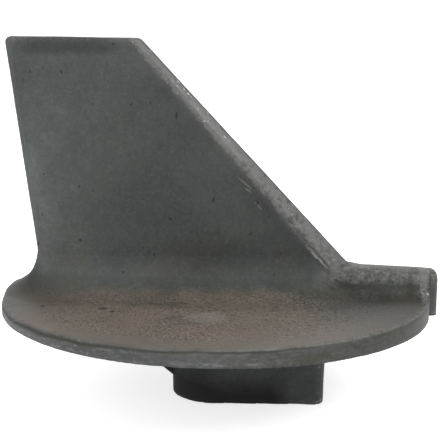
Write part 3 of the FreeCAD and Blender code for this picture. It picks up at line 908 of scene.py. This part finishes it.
def grow_nodes(piece, tree, values):
    """Adds a geometry nodes modifier and writes its inputs by their identifiers."""
    grown = piece.modifiers.new(tree.name, "NODES")
    grown.node_group = tree
    for item in tree.interface.items_tree:
        if item.item_type == "SOCKET" and item.in_out == "INPUT" and item.name in values:
            grown[item.identifier] = values[item.name]
    return grown


def settle(piece):
    """Turns a piece with live modifiers into one plain mesh."""
    graph = bpy.context.evaluated_depsgraph_get()
    mesh = bpy.data.meshes.new_from_object(piece.evaluated_get(graph))
    mesh.name = piece.name
    piece.modifiers.clear()
    piece.data = mesh
    return piece


class ANODE_OT_casting(bpy.types.Operator):
    """Dress the casting in an even skin with waves, grain and pits, of worn and tarnished zinc"""
    bl_idname = "anode.casting"
    bl_label = "Dress the Casting"

    def execute(self, context):
        scene = context.scene
        sizes = scene.anode_skin
        thread = scene.anode_thread
        piece = merged_copy(CASTING, "anode_casting")
        even = piece.modifiers.new("even_skin", "REMESH")
        even.mode = "VOXEL"
        even.voxel_size = sizes.grid
        snug = piece.modifiers.new("snug", "SHRINKWRAP")
        snug.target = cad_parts[CASTING]
        snug.wrap_method = "NEAREST_SURFACEPOINT"
        grow_nodes(piece, skin_tree(), {
            "Wave Depth": sizes.wave_depth, "Wave Size": sizes.wave_size,
            "Grain Depth": sizes.grain_depth, "Pit Depth": sizes.pit_depth,
            "Pit Spacing": sizes.pit_spacing, "Pit Share": sizes.pit_share,
            "Flash Height": sizes.flash_height, "Tail Swell": sizes.tail_swell,
            "Thread Start": thread.start, "Thread End": thread.start + thread.length,
            "Thread Depth": thread.root_radius - BORE_RADIUS,
            "Skin Material": zinc_material(scene.anode_finish)})
        settle(piece)
        if not piece.data.polygons:
            raise RuntimeError("the casting's skin came out empty")
        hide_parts(CASTING)
        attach(piece, BODY)
        return {"FINISHED"}


# Bolt thread

def thread_tree():
    """Geometry nodes that wind a thread's ridge up the bore."""
    sizes = ("Pitch", "Crest Radius", "Root Radius", "Start", "Length")
    tree, given = start_tree("bolt_thread", sizes, "Thread Material")
    middle = (given["Crest Radius"] + given["Root Radius"]) * 0.5
    turns = given["Length"] / given["Pitch"]
    helix = made(tree, "GeometryNodeCurveSpiral",
                 {"Resolution": THREAD_STEPS, "Rotations": turns, "Start Radius": middle,
                  "End Radius": middle, "Height": given["Length"]})
    helix = made(tree, "GeometryNodeSetCurveNormal", {"Curve": helix}, mode="Z_UP")

    # section of the ridge: wide at the root, which is sunk in the wall, and narrow at the crest
    half_depth = given["Root Radius"] - middle
    rooted = half_depth * 1.25
    wide = given["Pitch"] * 0.46
    narrow = given["Pitch"] * 0.07
    section = add(tree, "GeometryNodeCurvePrimitiveQuadrilateral", mode="POINTS")
    corners = ((rooted, wide), (rooted, -wide), (-half_depth, -narrow), (-half_depth, narrow))
    for number, (depth, height) in enumerate(corners, start=1):
        set_input(section, f"Point {number}", vector(depth, height, 0.0))
    ridge = made(tree, "GeometryNodeCurveToMesh", {
        "Curve": helix, "Profile Curve": Value(section.outputs[0]), "Fill Caps": True})
    up = vector(0.0, 0.0, given["Start"])
    ridge = made(tree, "GeometryNodeTransform", {"Geometry": ridge, "Translation": up})
    return end_tree(tree, ridge, given["Thread Material"])


class ANODE_OT_thread(bpy.types.Operator):
    """Cut the bolt's thread in the wall of the bore"""
    bl_idname = "anode.thread"
    bl_label = "Cut the Bolt Thread"

    def execute(self, context):
        scene = context.scene
        thread = scene.anode_thread
        zinc = bpy.data.materials.get(ZINC) or zinc_material(scene.anode_finish)
        piece = new_object("bolt_thread", bpy.data.meshes.new("bolt_thread"))
        grow_nodes(piece, thread_tree(), {
            "Pitch": thread.pitch, "Crest Radius": BORE_RADIUS,
            "Root Radius": thread.root_radius, "Start": thread.start,
            "Length": thread.length, "Thread Material": zinc})
        settle(piece)
        if not piece.data.polygons:
            raise RuntimeError("the bolt thread came out empty")
        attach(piece, BODY)
        return {"FINISHED"}


# Stage

def area_light(name, power, size, place, target):
    lamp = bpy.data.lights.new(name, "AREA")
    lamp.shape = "DISK"
    lamp.size = size
    lamp.energy = power
    holder = new_object(name, lamp)
    holder.location = place
    holder.rotation_euler = (target - place).to_track_quat("-Z", "Y").to_euler()


def seen_directly(tree):
    """1 for rays from the camera, in gloss and through glass, and 0 for bounced light."""
    path = add(tree, "ShaderNodeLightPath").outputs
    rays = ("Is Camera Ray", "Is Glossy Ray", "Is Transmission Ray")
    return most(*(Value(path[ray]) for ray in rays))


def floor_material(stage):
    """Pale floor, seen white, that throws back less light than it shows."""
    material = new_material("pale_floor")
    tree = material.node_tree
    seen = seen_directly(tree)
    colour = mixed(seen, stage.bounce_colour, stage.floor_colour)
    matt = made(tree, "ShaderNodeBsdfDiffuse", {"Color": colour})
    glow = made(tree, "ShaderNodeEmission", {
        "Color": (1.0, 1.0, 1.0), "Strength": seen * FLOOR_GLOW})
    both = made(tree, "ShaderNodeAddShader", {0: matt, 1: glow})
    add(tree, "ShaderNodeOutputMaterial", {0: both})
    return material


def backdrop_sheet(material):
    """Floor that curves up into a backdrop, behind the part."""
    half_width, near, far, sweep, top, steps = 3.0, -3.0, 1.6, 0.8, 4.0, 12
    profile = [(near, 0.0), (far, 0.0)]
    for step in range(1, steps + 1):
        turn = math.radians(90.0 * step / steps)
        profile.append((far + sweep * math.sin(turn), sweep - sweep * math.cos(turn)))
    profile.append((far + sweep, top))
    corners = [(side, y, z) for y, z in profile for side in (-half_width, half_width)]
    faces = [(i, i + 1, i + 3, i + 2) for i in range(0, len(corners) - 2, 2)]
    mesh = bpy.data.meshes.new("floor")
    mesh.from_pydata(corners, [], faces)
    mesh.materials.append(material)
    new_object("floor", mesh)


def turned(arrow, axis, degrees):
    return Matrix.Rotation(math.radians(degrees), 3, axis) @ arrow


def photo_camera():
    """Camera fitted to the plate's outline in the photograph."""
    azimuth, elevation, distance = math.radians(4.0), math.radians(13.32), 0.2312
    back = Vector((math.sin(azimuth) * math.cos(elevation),
                   -math.cos(azimuth) * math.cos(elevation), math.sin(elevation)))
    right = Vector((math.cos(azimuth), math.sin(azimuth), 0.0))
    place = Vector((0.0, 0.0, PLATE_TOP)) + back * distance
    up = back.cross(right)
    yaw, pitch, roll = -0.178, 4.013, 0.861
    back, right = turned(back, up, yaw), turned(right, up, yaw)
    back, up = turned(back, right, pitch), turned(up, right, pitch)
    right, up = turned(right, back, roll), turned(up, back, roll)
    lens = bpy.data.cameras.new("photo_camera")
    lens.sensor_width = SENSOR_WIDTH
    lens.lens = SENSOR_WIDTH * FOCAL_LENGTH / PHOTO_WIDTH
    lens.clip_start = 0.01
    lens.clip_end = 50.0
    camera = new_object("photo_camera", lens)
    turn = Matrix((right, up, back)).transposed().to_4x4()
    camera.matrix_world = Matrix.Translation(place) @ turn
    bpy.context.scene.camera = camera


class ANODE_OT_stage(bpy.types.Operator):
    """Set up the pale floor, the backdrop, the soft lights and the camera"""
    bl_idname = "anode.stage"
    bl_label = "Set Up the Stage"

    def execute(self, context):
        scene = context.scene
        stage = scene.anode_stage
        backdrop_sheet(floor_material(stage))
        middle = Vector((0.0, 0.0, 0.04))
        area_light("key_softbox", stage.key_power, 0.55, Vector((0.55, -0.45, 0.75)), middle)
        area_light("fill_softbox", stage.fill_power, 0.7, Vector((-0.7, -0.6, 0.45)), middle)
        area_light("back_softbox", stage.back_power, 0.7, Vector((-0.25, 0.85, 0.5)), middle)
        world = bpy.data.worlds.new("soft_surround")
        world.use_nodes = True
        tree = world.node_tree
        background = tree.nodes["Background"]
        seen = made(tree, "ShaderNodeLightPath", output="Is Camera Ray")
        set_input(background, "Color", (1.0, 1.0, 1.0))
        set_input(background, "Strength", most(seen, stage.sky_strength))
        scene.world = world
        scene.view_settings.view_transform = "Standard"
        photo_camera()
        return {"FINISHED"}


class ANODE_PT_sidebar(bpy.types.Panel):
    bl_idname = "ANODE_PT_sidebar"
    bl_label = "Trim Tab Anode"
    bl_space_type = "VIEW_3D"
    bl_region_type = "UI"
    bl_category = "Anode"

    def draw(self, context):
        layout = self.layout
        scene = context.scene
        for title, settings, operator in (
                ("Casting", scene.anode_skin, "anode.casting"),
                ("Zinc", scene.anode_finish, None),
                ("Bolt Thread", scene.anode_thread, "anode.thread"),
                ("Stage", scene.anode_stage, "anode.stage")):
            box = layout.box()
            box.label(text=title)
            for name in settings.__annotations__:
                box.prop(settings, name)
            if operator:
                box.operator(operator)


SETTINGS = (
    ("anode_skin", CastingSkin),
    ("anode_finish", ZincFinish),
    ("anode_thread", BoltThread),
    ("anode_stage", StudioStage),
)
OPERATORS = (ANODE_OT_casting, ANODE_OT_thread, ANODE_OT_stage)


def register():
    for _, settings in SETTINGS:
        bpy.utils.register_class(settings)
    for operator in OPERATORS:
        bpy.utils.register_class(operator)
    bpy.utils.register_class(ANODE_PT_sidebar)
    for name, settings in SETTINGS:
        setattr(bpy.types.Scene, name, bpy.props.PointerProperty(type=settings))


def unregister():
    for name, _ in SETTINGS:
        delattr(bpy.types.Scene, name)
    bpy.utils.unregister_class(ANODE_PT_sidebar)
    for operator in reversed(OPERATORS):
        bpy.utils.unregister_class(operator)
    for _, settings in reversed(SETTINGS):
        bpy.utils.unregister_class(settings)


def main():
    register()
    bpy.ops.anode.casting()
    bpy.ops.anode.thread()
    bpy.ops.anode.stage()


if __name__ == "__main__":
    main()
